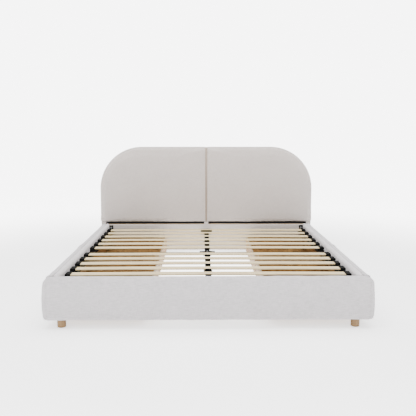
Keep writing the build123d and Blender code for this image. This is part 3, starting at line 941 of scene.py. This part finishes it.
frontLook = {
    "boardShows": 0.0008, "setBack": 0.004, "dropTop": 0.003, "gap": 0.001, "roll": 0.026,
    "innerRoll": 0.006, "endRoll": 0.011, "baseRoll": 0.012, "voxel": 0.0085,
    "stretch": 12.0, "bend": 0.6, "pressure": 5.0, "slack": 0.014, "frames": 16, "cap": 0.006,
    "pinInner": 0.006, "lump": 0.0018, "lumpScale": 10.0, "lumpInner": 0.015,
}


def drawerFronts(place, seed):
    low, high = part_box("drawer_" + place + "_right_pad")
    inner = low.x + frontLook["boardShows"]
    outer = high.x - frontLook["setBack"]
    top = high.z - frontLook["dropTop"]
    bottom = low.z + frontLook["gap"]
    outline = [(inner, bottom), (outer, bottom), (outer, top), (inner, top)]
    ends = (low.y + frontLook["gap"], high.y - frontLook["gap"])
    first = extruded("drawerPad", outline, ends, standing, baseFabric)

    def alongTop(p, q):
        return min(p.z, q.z) > top - hair and abs(p.y - q.y) > longEdge

    def onOuter(p, q):
        return alongTop(p, q) and min(p.x, q.x) > outer - hair

    def onInner(p, q):
        return alongTop(p, q) and max(p.x, q.x) < inner + hair

    def clearOfBoard(p, q):
        return min(p.x, q.x) > inner + hair

    def onBase(p, q):
        return max(p.z, q.z) < bottom + hair and clearOfBoard(p, q) and abs(p.y - q.y) > longEdge

    def onEnd(p, q):
        return abs(p.y - q.y) < hair and clearOfBoard(p, q)

    def lumpShare(p):
        return 1.0 if abs(p.x) > inner + frontLook["lumpInner"] else 0.0

    roundEdges(first, onOuter, frontLook["roll"], 6)
    roundEdges(first, onInner, frontLook["innerRoll"], 3)
    roundEdges(first, onBase, frontLook["baseRoll"])
    roundEdges(first, onEnd, frontLook["endRoll"])
    remeshed(first, frontLook["voxel"])
    softened(first, 2)
    puffed(first, lambda p: p.x < inner + frontLook["pinInner"], frontLook)

    def finishSide(piece, side):
        lumped(piece, frontLook, seed + side, lumpShare)
        for point in piece.data.vertices:
            point.co.x = side * max(side * point.co.x, inner)
            point.co.y = within(point.co.y, low.y, high.y)
            point.co.z = max(point.co.z, low.z)
        subdivided(piece)
        body = "drawer_" + place + "_" + sideName(side)
        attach(piece, body)
        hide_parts(body + "_pad")

    pairUp(first, "drawerPad." + place, finishSide)


drawerFronts("front", 3)
drawerFronts("rear", 6)
print("drawer fronts")

viewLook = {"height": 1.189, "distance": 3.467, "across": -0.041, "pitch": 7.358, "turn": 0.591,
            "lens": 51.46, "sensor": 36.0, "reach": 60.0}
studioLook = {
    "world": 1.9, "backdrop": 7.0, "backdropRadius": 27.5, "floorRadius": 28.0, "floorSides": 64,
    "floorShade": (0.83, 0.83, 0.83), "floorLight": (0.85, 0.85, 0.85), "floorGlow": 1.4,
    "floorReturn": 0.84, "sweepStart": 1.7, "sweepEnd": 5.0,
    "middleGlow": 3.0, "middleAt": 0.55, "middleStart": 0.45, "middleEnd": 0.85,
}
lampLooks = {
    "overhead": {"place": (0.0, -0.4, 3.6), "aim": (0.0, 0.2, 0.0),
                 "size": (4.5, 4.5), "power": 320.0},
    "front": {"place": (-1.5, -5.5, 2.6), "aim": (0.0, -0.5, 0.3),
              "size": (3.5, 2.5), "power": 62.0},
}


def makeCamera():
    lens = bpy.data.cameras.new("camera")
    lens.lens = viewLook["lens"]
    lens.sensor_width = viewLook["sensor"]
    lens.clip_end = viewLook["reach"]
    camera = bpy.data.objects.new("camera", lens)
    scene.collection.objects.link(camera)
    camera.location = (viewLook["across"], cadLow.y - viewLook["distance"], viewLook["height"])
    tilt = math.radians(90 - viewLook["pitch"])
    camera.rotation_euler = (tilt, 0.0, math.radians(-viewLook["turn"]))
    scene.camera = camera


def makeLamp(name, look):
    lamp = bpy.data.lights.new(name, "AREA")
    lamp.shape = "RECTANGLE"
    lamp.size, lamp.size_y = look["size"]
    lamp.energy = look["power"]
    holder = bpy.data.objects.new(name, lamp)
    scene.collection.objects.link(holder)
    holder.location = look["place"]
    ray = Vector(look["aim"]) - Vector(look["place"])
    holder.rotation_euler = ray.to_track_quat("-Z", "Y").to_euler()


# A pale floor that brightens into the backdrop, and glows under the open middle of the base.
def makeFloor():
    tree = Finish("studioFloor")
    x, y, z = tree.place().axes()
    speck = tree.noise(tree.place(), 5.0, 2.0)
    glow = (x * x + y * y).to("SQRT").mapped(
        studioLook["sweepStart"], studioLook["sweepEnd"], studioLook["floorGlow"],
        studioLook["backdrop"] - studioLook["world"] * studioLook["floorReturn"])
    rearward = y - studioLook["middleAt"]
    glow = glow + (x * x + rearward * rearward).to("SQRT").mapped(
        studioLook["middleStart"], studioLook["middleEnd"], studioLook["middleGlow"], 0.0)
    tree.finish(
        Base_Color=tree.mix(speck, studioLook["floorShade"], studioLook["floorLight"]),
        Roughness=0.9,
        Specular_IOR_Level=0.1,
        Emission_Color=tree.join(glow, glow, glow) / studioLook["backdrop"],
        Emission_Strength=studioLook["backdrop"],
    )
    sides = studioLook["floorSides"]
    rim = arcPoints((0.0, 0.0), studioLook["floorRadius"], 0, 360, sides)[:sides]
    points = [(a, b, 0.0) for a, b in rim]
    return newPiece("studioFloor", points, [tuple(range(sides))], tree.material)


# A plain white ball of light round everything, which only the camera sees.
def makeBackdrop():
    tree = Finish("studioBackdrop")
    tree.finish(
        Base_Color=(0.0, 0.0, 0.0),
        Specular_IOR_Level=0.0,
        Emission_Color=(1.0, 1.0, 1.0),
        Emission_Strength=studioLook["backdrop"],
    )
    mesh = bmesh.new()
    radius = studioLook["backdropRadius"]
    bmesh.ops.create_uvsphere(mesh, u_segments=48, v_segments=24, radius=radius)
    backdrop = newPiece("studioBackdrop", [], [], tree.material)
    mesh.to_mesh(backdrop.data)
    mesh.free()
    smooth(backdrop)
    backdrop.visible_diffuse = False
    backdrop.visible_glossy = False
    backdrop.visible_shadow = False
    return backdrop


def makeStudio():
    makeFloor()
    makeBackdrop()
    world = bpy.data.worlds.new("studio")
    world.use_nodes = True
    background = world.node_tree.nodes["Background"]
    background.inputs["Color"].default_value = (1.0, 1.0, 1.0, 1.0)
    background.inputs["Strength"].default_value = studioLook["world"]
    scene.world = world
    for name, look in lampLooks.items():
        makeLamp(name, look)


makeCamera()
makeStudio()
print("camera and studio")
